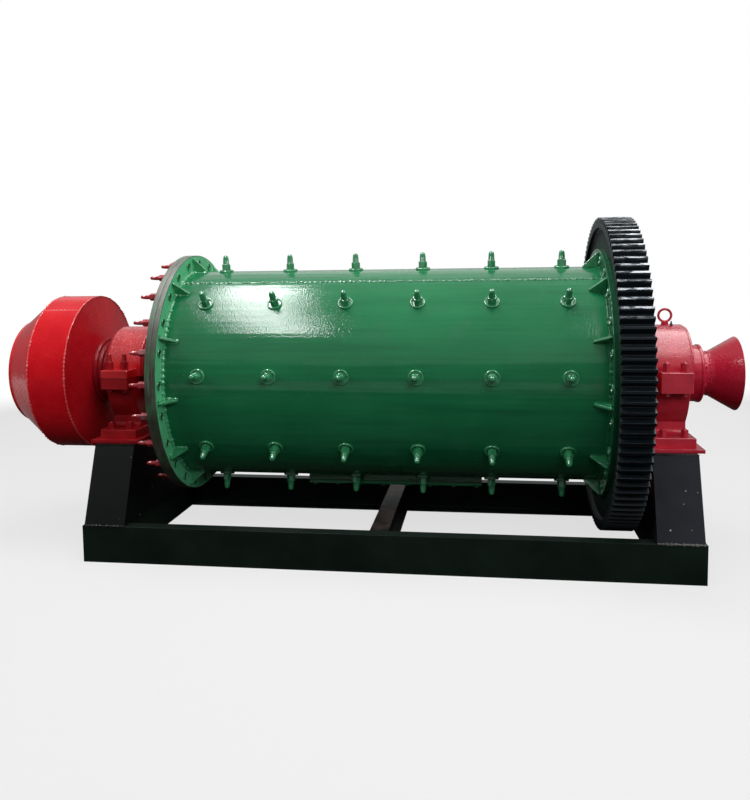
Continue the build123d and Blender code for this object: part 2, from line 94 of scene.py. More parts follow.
# liner bolts: rows run along the drum, their angles are measured up from the front
LINER_ROWS = 9
LINER_COLUMNS = 6
FIRST_LINER_ROW = 84
LINER_ROW_PITCH = 40
LINER_COLUMN_PITCH = 0.394
LINER_BOLT_REACH = 0.100
LINER_WASHER_RADIUS = 0.0420
LINER_WASHER_HEIGHT = 0.012
LINER_WASHER_RIM = 0.0095
LINER_RIM_STEPS = 8
LINER_RIM_FOOT = 0.55
LINER_RIM_CROWN = 0.45
LINER_DISH_STEPS = 36
LINER_NUT_FLATS = 0.043
LINER_NUT_HEIGHT = 0.043
LINER_STUD_RADIUS = 0.0182
LINER_TIP_RADIUS = 0.0145
LINER_NUT_TURN = 700

# bolts through the end flanges
FLANGE_BOLTS = 24
FLANGE_BOLT_PITCH = 360 / FLANGE_BOLTS
FLANGE_BOLT_CIRCLE = 0.665
HEAD_STUD_REACH = 0.108
HEAD_STUD_RADIUS = 0.0125
HEAD_NUT_FLATS = 0.036
HEAD_NUT_HEIGHT = 0.023
HEAD_WASHER_RADIUS = 0.023
HEAD_TIP_RADIUS = HEAD_STUD_RADIUS * 0.75
HEAD_NUT_GAP = 0.001
HEAD_NUT_TURN = 23
BOLT_END_RADIUS = 0.0160
BOLT_END_STEPS = 24
BOLT_END_TURN = 31

# outlines: paint ring past the bolt's end, the end in shares of its edge, grease nipple
PAINT_RING = [(0.007, -0.001), (0.007, 0.004), (0.005, 0.0065), (0.0025, 0.0065), (0.001, 0.004), (0, 0.001)]
BOLT_END_EDGE = BOLT_END_RADIUS + 0.0005
BOLT_END = [(0, 0.0020), (0.6, 0.0016), (1, 0.0008), (1, -0.001)]
GREASE_NIPPLE = [(0.0045, 0.008), (0.0045, 0.017), (0.0030, 0.019), (0.0040, 0.023), (0, 0.025)]

# nuts round the manhole, which lies under the drum
MANHOLE_ANGLE = -104
MANHOLE_CLEAR_ANGLE = 22
MANHOLE_SIDE_ANGLE = 17.2
MANHOLE_SIDE_NUTS = 8
MANHOLE_END_PITCH = 9
MANHOLE_MARGIN = 0.030
MANHOLE_LIFT = 0.058
MANHOLE_WASHER_RADIUS = 0.017
MANHOLE_NUT_FLATS = 0.024
MANHOLE_NUT_HEIGHT = 0.009
MANHOLE_NUT_TURN = 500

# bearing bolts
CAP_FLANGE_THICKNESS = 0.048
HOUSING_FLANGE_THICKNESS = 0.062
FOOT_THICKNESS = 0.050
CAP_BOLT_Y = 0.348
CAP_BOLT_X = 0.046
FOOT_BOLT_Y = 0.325
FOOT_BOLT_X = 0.056
BEARING_NUT_FLATS = 0.038
BEARING_NUT_HEIGHT = 0.043
BEARING_STUD_RADIUS = 0.0142
BEARING_WASHER_RADIUS = BEARING_NUT_FLATS * 0.62
BEARING_TIP_RADIUS = BEARING_STUD_RADIUS * 0.88
CAP_NUT_TURN = 8
LONG_CAP_STUD = 0.095
SHORT_CAP_STUD = 0.054
UNDER_NUT_HEIGHT = 0.022
UNDER_NUT_TURN = 12
FOOT_NUT_HEIGHT = 0.034
FOOT_NUT_TURN = 11
FOOT_STUD = 0.046
SPLIT_FLANGE_HALF_WIDTH = 0.083
CAP_SHOULDER_Y = 0.24
SPLIT_LINE_WIDTH = 0.0035
SPLIT_LINE_HEIGHT = 0.0014
SPLIT_LINE_PROUD = 0.0006
SPLIT_LINE_LUMP = 0.05
SPLIT_LINE_SEED = 81
GREASE_NIPPLE_OFFSET_X = 0.043
GREASE_NIPPLE_ANGLE = 84
GREASE_NIPPLE_FLATS = 0.014
GREASE_NIPPLE_FOOT = 0.009
GREASE_NIPPLE_STEPS = 16

# discharge flange and neck, and the stands
BELL_NECK_LENGTH = 0.040
BELL_NECK_RADIUS = 0.122
NECK_WELD_WIDTH = 0.010
NECK_WELD_HEIGHT = 0.004
NECK_WELD_OFFSET = 0.002
NECK_WELD_LEAN = -40
BELL_WELD_LEAN = 20
FIRST_NECK_SEED = 71
DISCHARGE_BOLTS = 8
FIRST_DISCHARGE_BOLT = 22.5
DISCHARGE_FACE_INSIDE = 0.100
DISCHARGE_WASHER_RADIUS = 0.013
DISCHARGE_WASHER_THICKNESS = 0.0025
DISCHARGE_NUT_FLATS = 0.019
DISCHARGE_NUT_HEIGHT = 0.011
DISCHARGE_NUT_TURN = 17
SUPPORT_TOP_REACH = 0.445
SUPPORT_WELD_OFFSET = 0.002
FIRST_SUPPORT_SEED = 91

# welds: section in shares of the width, stations a ripple apart, width and height times a swell
WELD_SECTION = (-0.5, -0.36, -0.15, 0.15, 0.36, 0.5)
WELD_RIPPLE = 0.004
WELD_LUMP = 0.02
WELD_DIP = 0.55
WELD_SWELL = (0.6, 1.7)
WELD_SWELL_RATE = 0.6
WELD_DRIFT = 0.12
WELD_DRIFT_RATE = 0.5
WELD_SINK = 0.0008
SHELL_SEAM_ANGLE = 62.4
SHELL_SEAM_SEED = 11
FILLET_WIDTH = 0.024
FILLET_HEIGHT = 0.009
FILLET_LUMP = 0.034
FILLET_DIP = 0.75
FILLET_LEAN = 45
FILLET_OFFSET = 0.004
FILLET_SEED = 23
SEAM_WIDTH = 0.019
SEAM_HEIGHT = 0.0065
SEAM_LUMP = 0.027
RIGHT_WELD_SHARE = 0.6
GUSSET_WELD_WIDTH = 0.012
GUSSET_WELD_HEIGHT = 0.005
GUSSET_WELD_ASIDE = 0.003
GUSSET_WELD_LIFT = 0.002
GUSSET_WELD_BELOW_RIM = 0.026
FIRST_GUSSET_SEED = 400
GUSSET_SEED_STEP = 10
UPRIGHT_RUN_SEED = 5
FEEDER_SEAM_ANGLE = 56.6
FEEDER_WELD_WIDTH = 0.011
FEEDER_WELD_HEIGHT = 0.0035
FEEDER_LUMP = 0.026
FEEDER_WELD_LEAN = 10
FEEDER_SEAM_MARGIN = 0.004
FIRST_FEEDER_SEED = 61
FEEDER_SEAM_SEED = 63
FRAME_WELD_WIDTH = 0.014
FRAME_WELD_HEIGHT = 0.005
GUSSETS = 12
FIRST_GUSSET = 21.7
GUSSET_THICKNESS = 0.014

# edges are sharp above these angles, and the nodes' own are broken by these radii
SHARP_ANGLE = 35
WELD_SHARP_ANGLE = 80
MERGE_DISTANCE = 0.00001
EDGE_RADIUS = 0.002
FINE_EDGE_RADIUS = 0.0012
EDGE_SEGMENTS = 2
FINE_EDGED = {"girth_gear", "cap_eyebolt", "discharge_bell"}

# finishes: refraction, shine, specks' solid cores, and where heights and depths change a finish
ENAMEL_IOR = 1.5
SILICONE_IOR = 1.41
METAL_SHINE = 0.5
SPECK_CORE = 0.5
DRY_SPRAY_HEIGHTS = (0.1, 0.4)
DRY_SPRAY_LEAST = 0.3
# heights between which the pebbles' painted highlight comes in
LIT_CREST_HEIGHTS = (0.06, 0.2)
# the gear's bright tip lines, partly a painted highlight, come in between these heights
WORN_AND_LIT_TIP_HEIGHTS = (0.32, 0.42)
TOOTH_TIP_DEPTH = 0.012
TOOTH_EDGE_DEPTH = 0.001
TOOTH_TIP_METAL = 0.7
TURNED_RIM_DEPTH = 0.004
GREEN_MIST_REACH = 0.09
SPILL_DEPTH = 0.03


def low(node):
    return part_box(node)[0]


def high(node):
    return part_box(node)[1]


def middle(node):
    return (low(node) + high(node)) / 2


# places read from the parts of model.glb
AXIS_HEIGHT = middle("drum_shell").z
SHELL_RADIUS = (high("drum_shell").y - low("drum_shell").y) / 2
SHELL_MIDDLE = middle("drum_shell").x
FLANGE_RADIUS = high("left_shell_flange").y
FLANGE_THICKNESS = high("left_shell_flange").x - low("left_shell_flange").x
LEFT_FACE = high("left_shell_flange").x
RIGHT_FACE = low("right_shell_flange").x
LEFT_HEAD_FACE = low("left_shell_flange").x - FLANGE_THICKNESS
RIGHT_HEAD_FACE = high("right_shell_flange").x + 2 * FLANGE_THICKNESS
GEAR_TIP_RADIUS = high("girth_gear").y
GUSSET_LENGTH = high("left_flange_gussets").x - LEFT_FACE
BEARINGS = {"left": middle("left_bearing_housing").x, "right": middle("right_bearing_housing").x}
CAP_FLANGE_TOP = AXIS_HEIGHT + CAP_FLANGE_THICKNESS
HOUSING_FLANGE_UNDERSIDE = AXIS_HEIGHT - HOUSING_FLANGE_THICKNESS
FOOT_TOP = high("left_sole_plate").z + FOOT_THICKNESS
CAP_TOP = high("left_bearing_cap").z


# placing
def on_circle(x, radius, angle):
    turn = math.radians(angle)
    return Vector((x, -radius * math.cos(turn), AXIS_HEIGHT + radius * math.sin(turn)))


def outward(angle):
    turn = math.radians(angle)
    return Vector((0, -math.cos(turn), math.sin(turn)))


def standing_on(point, direction, turn=0):
    facing = direction.to_track_quat("Z", "Y").to_matrix().to_4x4()
    return Matrix.Translation(point) @ facing @ Matrix.Rotation(math.radians(turn), 4, "Z")


# shapes
def sweep_rings(mesh, place, rings, steps):
    # joins rings round the placing matrix's own upright; each gives radius and height for an angle
    loops = []
    for ring in rings:
        if ring(0)[0] == 0:
            loops.append([mesh.verts.new(place @ Vector((0, 0, ring(0)[1])))])
            continue
        loop = []
        for step in range(steps):
            angle = 2 * math.pi * step / steps
            radius, height = ring(angle)
            point = Vector((radius * math.cos(angle), radius * math.sin(angle), height))
            loop.append(mesh.verts.new(place @ point))
        loops.append(loop)
    for below, above in zip(loops, loops[1:]):
        for step in range(steps):
            after = (step + 1) % steps
            corners = [below[step % len(below)], below[after % len(below)]]
            corners += [above[after % len(above)], above[step % len(above)]]
            mesh.faces.new(list(dict.fromkeys(corners)))


def lathe(mesh, place, outline, steps):
    # turns an outline of radii and heights round the same upright
    rings = [lambda angle, pair=pair: pair for pair in outline]
    sweep_rings(mesh, place, rings, steps)


def hexagon_reach(flats, angle):
    # distance from the middle of a hexagon to its side, in one direction
    sixth = math.pi / 3
    return flats / 2 / math.cos((angle + sixth / 2) % sixth - sixth / 2)


def nut(mesh, place, flats, base, height):
    # hexagon with its top corners turned back
    def corner_drop(angle):
        return (hexagon_reach(flats, angle) - flats / 2) * math.tan(math.radians(NUT_CHAMFER))

    edge = base + height - flats * NUT_EDGE_SHARE
    rings = [
        lambda angle: (0, base),
        lambda angle: (hexagon_reach(flats, angle), base),
        lambda angle: (hexagon_reach(flats, angle), edge - corner_drop(angle)),
        lambda angle: (flats / 2 * NUT_TOP_SHARE, base + height),
        lambda angle: (0, base + height),
    ]
    sweep_rings(mesh, place, rings, NUT_STEPS)


def washer(mesh, place, radius, thickness=WASHER_THICKNESS):
    outline = [(0, 0), (radius, 0), (radius, thickness * WASHER_EDGE_SHARE)]
    outline += [(radius * WASHER_TOP_SHARE, thickness), (0, thickness)]
    lathe(mesh, place, outline, WASHER_STEPS)


def stud(mesh, place, radius, tip_radius, start, reach):
    # threaded end thick with paint: shallow ridges up to a rounded tip
    tip = reach - tip_radius * TIP_LENGTH_SHARE
    outline = [(0, start), (radius, start)]
    ridges = int((tip - start) / THREAD_PITCH)
    for ridge in range(ridges):
        share = ridge / ridges
        thick = radius + (tip_radius - radius) * share ** 3
        height = start + (tip - start) * share
        outline.append((thick, height))
        outline.append((thick - THREAD_DEPTH, height + THREAD_PITCH / 2))
    for step in range(TIP_STEPS):
        turn = math.pi / 2 * step / TIP_STEPS
        outline.append((tip_radius * math.cos(turn), tip + (reach - tip) * math.sin(turn)))
    outline.append((0, reach))
    lathe(mesh, place, outline, STUD_STEPS)


def weld_bead(mesh, stations, width, height, seed, closed=False, lump=WELD_LUMP, dip=WELD_DIP):
    # weld metal laid over a joint, uneven in width, height and line: swollen and thin by turns
    uneven = random.Random(seed)
    every = max(2, round(lump / WELD_RIPPLE))
    rows = []
    drift = 0
    swell = 1
    for index, (point, rise, across) in enumerate(stations):
        if index % every == 0:
            swollen = uneven.uniform(*WELD_SWELL)
        aim = swollen if index % every < every / 2 else dip
        swell += (aim - swell) * WELD_SWELL_RATE
        drift += (uneven.uniform(-WELD_DRIFT, WELD_DRIFT) - drift) * WELD_DRIFT_RATE
        row = []
        for share in WELD_SECTION:
            lift = math.sqrt(max(0, 1 - (2 * share) ** 2)) * height * swell - WELD_SINK
            aside = (share * swell + drift) * width
            row.append(mesh.verts.new(point + rise * lift + across * aside))
        rows.append(row)
    pairs = list(zip(rows, rows[1:]))
    if closed:
        pairs.append((rows[-1], rows[0]))
    for first, second in pairs:
        for side in range(len(WELD_SECTION) - 1):
            mesh.faces.new((first[side], first[side + 1], second[side + 1], second[side]))


def ring_stations(x, radius, lean):
    # stations of a weld round the drum's axis; lean tips it in degrees from outward towards the right
    count = int(radius * math.radians(360) / WELD_RIPPLE)
    tipped = math.radians(lean)
    stations = []
    for index in range(count):
        angle = 360 * index / count
        rise = outward(angle) * math.cos(tipped) + Vector((math.sin(tipped), 0, 0))
        across = Vector((math.cos(tipped), 0, 0)) - outward(angle) * math.sin(tipped)
        stations.append((on_circle(x, radius, angle), rise, across))
    return stations


def straight_stations(start, end, rise, across):
    count = max(3, int((end - start).length / WELD_RIPPLE))
    return [(start.lerp(end, index / (count - 1)), rise, across) for index in range(count)]


def add_object(name, mesh, material):
    data = bpy.data.meshes.new(name)
    mesh.to_mesh(data)
    mesh.free()
    data.materials.append(material)
    made = bpy.data.objects.new(name, data)
    bpy.context.scene.collection.objects.link(made)
    return made


def finish_piece(name, mesh, body, material, sharp=SHARP_ANGLE):
    bmesh.ops.recalc_face_normals(mesh, faces=mesh.faces)
    piece = add_object(name, mesh, material)
    piece.data.shade_smooth()
    piece.data.set_sharp_from_angle(angle=math.radians(sharp))
    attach(piece, body)


def finish_weld(name, mesh, body, material):
    # the ripples of a weld are shaded as one smooth skin
    finish_piece(name, mesh, body, material, WELD_SHARP_ANGLE)


# materials
def srgb(code):
    # an sRGB hex code as a linear colour
    channels = []
    for start in (0, 2, 4):
        level = int(code[start:start + 2], 16) / 255
        channels.append(level / 12.92 if level <= 0.04045 else ((level + 0.055) / 1.055) ** 2.4)
    return (*channels, 1)


def add_node(material, kind, inputs=None, output=0, **settings):
    made = material.node_tree.nodes.new(kind)
    for name, value in settings.items():
        setattr(made, name, value)
    for socket, value in (inputs or {}).items():
        if isinstance(value, bpy.types.NodeSocket):
            material.node_tree.links.new(value, made.inputs[socket])
        else:
            made.inputs[socket].default_value = value
    return made.outputs[output] if made.outputs else None


def new_material(name):
    material = bpy.data.materials.new(name)
    material.use_nodes = True
    material.node_tree.nodes.clear()
    return material


def start_finish(name):
    # a material, and the place on its piece in metres, to which the patterns are fixed
    material = new_material(name)
    return material, add_node(material, "ShaderNodeTexCoord", output="Object")


def end_finish(material, colour, roughness, normal=None, shine=METAL_SHINE, metal=0, ior=ENAMEL_IOR):
    # a metal keeps the default refraction
    inputs = {"Base Color": colour, "Roughness": roughness, "Metallic": metal, "Specular IOR Level": shine}
    if not metal:
        inputs["IOR"] = ior
    if normal:
        inputs["Normal"] = normal
    surface = add_node(material, "ShaderNodeBsdfPrincipled", inputs)
    add_node(material, "ShaderNodeOutputMaterial", {"Surface": surface})
    return material


def patches(material, place, size, levels, stretch=(1, 1, 1), detail=3, within=None):
    # cloudy patches about size millimetres across, 0 to 1 between two levels, times a share if given
    drawn_out = add_node(material, "ShaderNodeMapping", {"Vector": place, "Scale": stretch})
    drawing = {"Vector": drawn_out, "Scale": 1000 / size, "Detail": detail}
    cloud = add_node(material, "ShaderNodeTexNoise", drawing)
    span = {"Value": cloud, "From Min": levels[0], "From Max": levels[1]}
    shown = add_node(material, "ShaderNodeMapRange", span)
    if within is None:
        return shown
    return add_node(material, "ShaderNodeMath", {0: shown, 1: within}, operation="MULTIPLY")


def mottled(material, place, under, over, size, levels, **drawing):
    # one colour in cloudy patches on another
    share = patches(material, place, size, levels, **drawing)
    return add_node(material, "ShaderNodeMix", {0: share, 6: under, 7: over}, 2, data_type="RGBA")


def spattered(material, place, under, over, spacing, size, chance):
    # round specks of a colour, on a share of cells that are spaced in millimetres
    cells = {"Vector": place, "Scale": 1000 / spacing}
    distance = add_node(material, "ShaderNodeTexVoronoi", cells, "Distance")
    draw = add_node(material, "ShaderNodeTexVoronoi", cells, "Color")
    chosen = add_node(material, "ShaderNodeMath", {0: draw, 1: chance}, operation="LESS_THAN")
    edge = size / spacing / 2
    inside = {"Value": distance, "From Min": edge, "From Max": edge * SPECK_CORE}
    speck = add_node(material, "ShaderNodeMapRange", inside)
    share = add_node(material, "ShaderNodeMath", {0: chosen, 1: speck}, operation="MULTIPLY")
    return add_node(material, "ShaderNodeMix", {0: share, 6: under, 7: over}, 2, data_type="RGBA")


def uneven_skin(material, place, size, depth, below=None, **drawing):
    # soft rises of this size and depth in millimetres, over coarser ones below
    height = patches(material, place, size, (0, 1), **drawing)
    inputs = {"Height": height, "Distance": depth / 1000}
    if below:
        inputs["Normal"] = below
    return add_node(material, "ShaderNodeBump", inputs)


def higher(material, place, start, full, least=0):
    # from least at one height above the floor to 1 at another
    height = add_node(material, "ShaderNodeSeparateXYZ", {"Vector": place}, "Z")
    span = {"Value": height, "From Min": start, "From Max": full, "To Min": least}
    return add_node(material, "ShaderNodeMapRange", span)


def above_axis(material, place, heights, least=0):
    # the same, between two heights above the drum's axis
    return higher(material, place, AXIS_HEIGHT + heights[0], AXIS_HEIGHT + heights[1], least)


def away_from_axis(material, place):
    # distance from the drum's axis
    sideways = {0: place, 1: (0, 0, AXIS_HEIGHT)}
    moved = add_node(material, "ShaderNodeVectorMath", sideways, operation="SUBTRACT")
    flat = add_node(material, "ShaderNodeVectorMath", {0: moved, 1: (0, 1, 1)}, operation="MULTIPLY")
    return add_node(material, "ShaderNodeVectorMath", {0: flat}, "Value", operation="LENGTH")


def drum_enamel():
    # green enamel sprayed thick on rolled plate: glossy, streaked, specked, rough above with dry spray
    material, place = start_finish("drum_enamel")
    tone = mottled(material, place, srgb("1D784A"), srgb("268454"), size=420, levels=(0.35, 0.70))
    tone = mottled(material, place, tone, srgb("1B7047"), size=60, levels=(0.50, 0.78), stretch=(0.08, 1, 1))
    tone = mottled(material, place, tone, srgb("307C54"), size=150, levels=(0.58, 0.80), detail=6)
    tone = spattered(material, place, tone, srgb("8CC4A4"), spacing=34, size=5, chance=0.10)
    sheen = patches(material, place, size=90, levels=(0.30, 0.75))
    roughness = add_node(material, "ShaderNodeMapRange", {"Value": sheen, "To Min": 0.06, "To Max": 0.14})
    waves = uneven_skin(material, place, size=110, depth=1.5, stretch=(0.2, 1, 1), detail=1)
    rolled = uneven_skin(material, place, size=45, depth=3.0, below=waves, stretch=(0.04, 1, 1), detail=1)
    # the specks and the grain of the dry spray are drawn coarser than they are, so that they show
    upper = above_axis(material, place, DRY_SPRAY_HEIGHTS, DRY_SPRAY_LEAST)
    skin = uneven_skin(material, place, size=7, depth=0.72, below=rolled, detail=0, within=upper)
    return end_finish(material, tone, roughness, skin, shine=0.22)


def fitting_enamel(name, first, second, shine):
    # the same green enamel on fittings and welds, in the two tones given
    material, place = start_finish(name)
    tone = mottled(material, place, srgb(first), srgb(second), size=40, levels=(0.35, 0.70))
    runs = uneven_skin(material, place, size=9, depth=0.6)
    return end_finish(material, tone, 0.13, runs, shine=shine)


def enamel_with_turned_rim(name, face_first, face_second, depth):
    # enamelled faces with a bare turned rim: beige grey under thin overspray, scratched along, dull
    material, place = start_finish(name)
    face = mottled(material, place, srgb(face_first), srgb(face_second), size=160, levels=(0.35, 0.65))
    bare = mottled(material, place, srgb("4C5042"), srgb("30372A"), size=160, levels=(0.35, 0.65))
    scratches = {"size": 14, "levels": (0.52, 0.68), "stretch": (1, 0.1, 0.1)}
    bare = mottled(material, place, bare, srgb("63665A"), **scratches)
    bare = mottled(material, place, bare, srgb("3B6848"), size=120, levels=(0.50, 0.70), detail=5)
    outside = {0: away_from_axis(material, place), 1: FLANGE_RADIUS - TURNED_RIM_DEPTH}
    rim = add_node(material, "ShaderNodeMath", outside, operation="GREATER_THAN")
    tone = add_node(material, "ShaderNodeMix", {0: rim, 6: face, 7: bare}, 2, data_type="RGBA")
    roughness = add_node(material, "ShaderNodeMapRange", {"Value": rim, "To Min": 0.24, "To Max": 0.45})
    skin = uneven_skin(material, place, size=9, depth=depth)
    return end_finish(material, tone, roughness, skin, shine=0.35)


def bolt_end_painted_shade():
    # nearly black and dull: painted shade for the sunk bolt ends down in their holes
    material, place = start_finish("bolt_end_painted_shade")
    tone = mottled(material, place, srgb("061A10"), srgb("0B2618"), size=12, levels=(0.3, 0.7))
    return end_finish(material, tone, 0.75, shine=0.2)


def cast_iron_enamel(name, first, second, lit_crests, depth, roughness, shine):
    # crimson enamel over sand-cast iron: a pebbled skin whose crests are paler near the top, a painted
    # highlight
    material, place = start_finish(name)
    tone = mottled(material, place, srgb(first), srgb(second), size=120, levels=(0.35, 0.70))
    # the pebbles are drawn three times as coarse as foundry sand leaves them, so that they show
    # the paler crests near the top are a painted highlight
    upper = above_axis(material, place, LIT_CREST_HEIGHTS)
    tone = mottled(material, place, tone, srgb(lit_crests), size=8, levels=(0.55, 0.67), detail=1, within=upper)
    skin = uneven_skin(material, place, size=8, depth=depth, detail=1)
    return end_finish(material, tone, roughness, skin, shine=shine)


def sheet_steel_enamel(name, first, second, thin, shine=0.22):
    # bright red gloss enamel on rolled sheet: soft dents and a lightly pebbled skin, thin in places
    material, place = start_finish(name)
    tone = mottled(material, place, srgb(first), srgb(second), size=180, levels=(0.35, 0.70))
    tone = mottled(material, place, tone, srgb(thin), size=45, levels=(0.60, 0.85), detail=5)
    # the pebbles of sprayed enamel are drawn coarser than they are, so that they show
    dents = uneven_skin(material, place, size=95, depth=2.0, detail=2)
    skin = uneven_skin(material, place, size=12, depth=1.2, below=dents, detail=0)
    return end_finish(material, tone, 0.18, skin, shine=shine)


def stud_enamel():
    # crimson enamel sprayed over zinc-plated studs, thin so that it greys here and there
    material, place = start_finish("stud_enamel")
    tone = mottled(material, place, srgb("B41A28"), srgb("A84450"), size=60, levels=(0.54, 0.68))
    skin = uneven_skin(material, place, size=6, depth=0.3)
    return end_finish(material, tone, 0.12, skin, shine=0.6)


def misted_zinc():
    # zinc-plated nuts under a thin red mist: crimson with grey pink patches, half shiny
    material, place = start_finish("misted_zinc")
    tone = mottled(material, place, srgb("A42432"), srgb("8A6A6C"), size=70, levels=(0.52, 0.66))
    return end_finish(material, tone, 0.28, metal=0.2)


def black_paint(name, first, second, splashed):
    # black-green enamel on hot-rolled sections: dull, dusty, splashed with white specks
    material, place = start_finish(name)
    tone = mottled(material, place, srgb(first), srgb(second), size=260, levels=(0.35, 0.70))
    tone = mottled(material, place, tone, srgb("262825"), size=90, levels=(0.62, 0.88), detail=6)
    tone = spattered(material, place, tone, srgb("C4C6C0"), spacing=60, size=11, chance=splashed)
    skin = uneven_skin(material, place, size=10, depth=0.3)
    return end_finish(material, tone, 0.38, skin, shine=0.12)


def stained_frame_paint():
    # the cross member under the drum: the same black paint, its top edge under rusty spilt ore
    material, place = start_finish("stained_frame_paint")
    top = high("centre_cross_member").z
    upper = higher(material, place, top - SPILL_DEPTH, top)
    tone = mottled(material, place, srgb("0A0F0C"), srgb("131A16"), size=260, levels=(0.35, 0.70))
    spill = {"size": 130, "levels": (0.40, 0.62), "detail": 6}
    tone = mottled(material, place, tone, srgb("554642"), within=upper, **spill)
    skin = uneven_skin(material, place, size=10, depth=0.3)
    return end_finish(material, tone, 0.55, skin, shine=0.15)


def sealing_compound():
    # black silicone squeezed out of a joint: soft and dull
    material, place = start_finish("sealing_compound")
    tone = mottled(material, place, srgb("100607"), srgb("1C0A0C"), size=20, levels=(0.3, 0.7))
    return end_finish(material, tone, 0.8, shine=0.1, ior=SILICONE_IOR)


def dark_steel():
    # oiled steel with grease on it: nearly black, half shiny
    material, place = start_finish("dark_steel")
    tone = mottled(material, place, srgb("1E1F22"), srgb("35373A"), size=8, levels=(0.3, 0.7))
    return end_finish(material, tone, 0.32, metal=0.8)


def gear_cast_steel():
    # hobbed cast steel dark with oil: blue black, with bright lines along the tips of the upper teeth that
    # are partly wear and partly a painted highlight
    material, place = start_finish("gear_cast_steel")
    tip = {
        "Value": away_from_axis(material, place),
        "From Min": GEAR_TIP_RADIUS - TOOTH_TIP_DEPTH,
        "From Max": GEAR_TIP_RADIUS - TOOTH_EDGE_DEPTH,
    }
    land = add_node(material, "ShaderNodeMapRange", tip)
    colours = {0: land, 6: srgb("10181C"), 7: srgb("181D21")}
    tone = add_node(material, "ShaderNodeMix", colours, 2, data_type="RGBA")
    # the lines are held to the upper teeth by height, and there they are a painted highlight
    upper = above_axis(material, place, WORN_AND_LIT_TIP_HEIGHTS)
    worn_and_lit_tips = add_node(material, "ShaderNodeMath", {0: upper, 1: land}, operation="MULTIPLY")
    # the bright lines, part wear and part painted highlight, are drawn coarser than they are, so that they
    # show
    lines = {"size": 14, "levels": (0.44, 0.58), "stretch": (0.25, 1, 1), "detail": 2}
    tone = mottled(material, place, tone, srgb("6E7276"), within=worn_and_lit_tips, **lines)
    roughness = add_node(material, "ShaderNodeMapRange", {"Value": land, "To Min": 0.45, "To Max": 0.22})
    metal = add_node(material, "ShaderNodeMath", {0: land, 1: TOOTH_TIP_METAL}, operation="MULTIPLY")
    skin = uneven_skin(material, place, size=8, depth=0.25)
    return end_finish(material, tone, roughness, skin, shine=0.25, metal=metal)


def gear_web_paint():
    # the web is half covered by green mist from the drum, which fades towards the dark rim
    material, place = start_finish("gear_web_paint")
    radius = away_from_axis(material, place)
    fade = {"Value": radius, "From Min": FLANGE_RADIUS + GREEN_MIST_REACH, "From Max": FLANGE_RADIUS}
    near = add_node(material, "ShaderNodeMapRange", fade)
    tone = mottled(material, place, srgb("0B0F11"), srgb("153828"), size=60, levels=(0.2, 0.6), within=near)
    skin = uneven_skin(material, place, size=8, depth=0.3)
    return end_finish(material, tone, 0.5, skin, shine=0.08)


def bearing_bronze():
    # cast bronze bush with oil on it: brown gold, smooth
    material, place = start_finish("bearing_bronze")
    tone = mottled(material, place, srgb("7A5A32"), srgb("9A7440"), size=25, levels=(0.3, 0.7))
    return end_finish(material, tone, 0.30, metal=0.9)


# finishes: name, tones, then depth in millimetres, roughness, shine or the share of splashes
DRUM_ENAMEL = drum_enamel()
# fittings take a lighter green than the drum, partly a painted highlight for the glints on nuts and studs
FITTING_ENAMEL_WITH_SHEEN = fitting_enamel("fitting_enamel", "2F8A5A", "3E9E6A", 0.8)
# the left welds take a lighter copy of the green: painted highlight
LIT_WELD_ENAMEL = fitting_enamel("lit_weld_enamel", "3F9C6A", "56B482", 0.9)
SEAM_ENAMEL = fitting_enamel("seam_enamel", "2C7A52", "3C8C62", 0.5)
# the right welds take a darker copy: painted shade
SHADED_WELD_ENAMEL = fitting_enamel("shaded_weld_enamel", "1F6844", "2A7850", 0.2)
# the right flange takes a darker copy of the green: painted shade on the face turned from the light
SHADED_FLANGE_ENAMEL = fitting_enamel("shaded_flange_enamel", "1F6040", "286B4A", 0.5)
# the left flange's face takes a lighter copy of the green: painted light
LIT_GREEN_FLANGE = enamel_with_turned_rim("lit_green_flange", "5AC088", "66CC94", 0.6)
RED_HEAD = enamel_with_turned_rim("red_head", "A0202B", "B22A36", 0.2)
BOLT_END_SHADE = bolt_end_painted_shade()
LEFT_BEARING_ENAMEL = cast_iron_enamel("left_bearing_enamel", "94121A", "AA1A22", "AA1A22", 0.8, 0.30, 0.15)
# the left cap's red is a lighter copy of its housing's: painted light on the lit cap
LIT_LEFT_CAP_ENAMEL = cast_iron_enamel("lit_left_cap_enamel", "C0121C", "D42028", "EC7880", 1.3, 0.17, 0.28)
RIGHT_BEARING_ENAMEL = cast_iron_enamel(
    "right_bearing_enamel", "BC2638", "CE3246", "D87484", 1.1, 0.22, 0.32)
HEAD_ENAMEL = cast_iron_enamel("head_enamel", "9C1A24", "AC242E", "AC242E", 0.7, 0.2, 0.3)
DISCHARGE_ENAMEL = sheet_steel_enamel("discharge_enamel", "B81C34", "CC2842", "C02A40")
FEEDER_ENAMEL = sheet_steel_enamel("feeder_enamel", "DE1822", "F0242E", "D64038")
BAND_ENAMEL = sheet_steel_enamel("band_enamel", "DE1420", "F01E2A", "D23430", shine=0.06)
# the feeder's welds take a paler copy of the red: painted highlight on the beads
LIT_FEEDER_WELD_ENAMEL = sheet_steel_enamel("lit_feeder_weld_enamel", "EE5A5C", "F47A78", "E03038")
# the neck rings take a darker red than the feeder: painted shade under the bearing cap
SHADED_NECK_ENAMEL = sheet_steel_enamel("shaded_neck_enamel", "8E121C", "A01A26", "8E1E22")
WALL_ENAMEL = sheet_steel_enamel("wall_enamel", "B8141E", "C81C28", "B82A2C")
STUD_ENAMEL = stud_enamel()
MISTED_ZINC = misted_zinc()
FRAME_PAINT = black_paint("frame_paint", "131E18", "1C2922", 0.03)
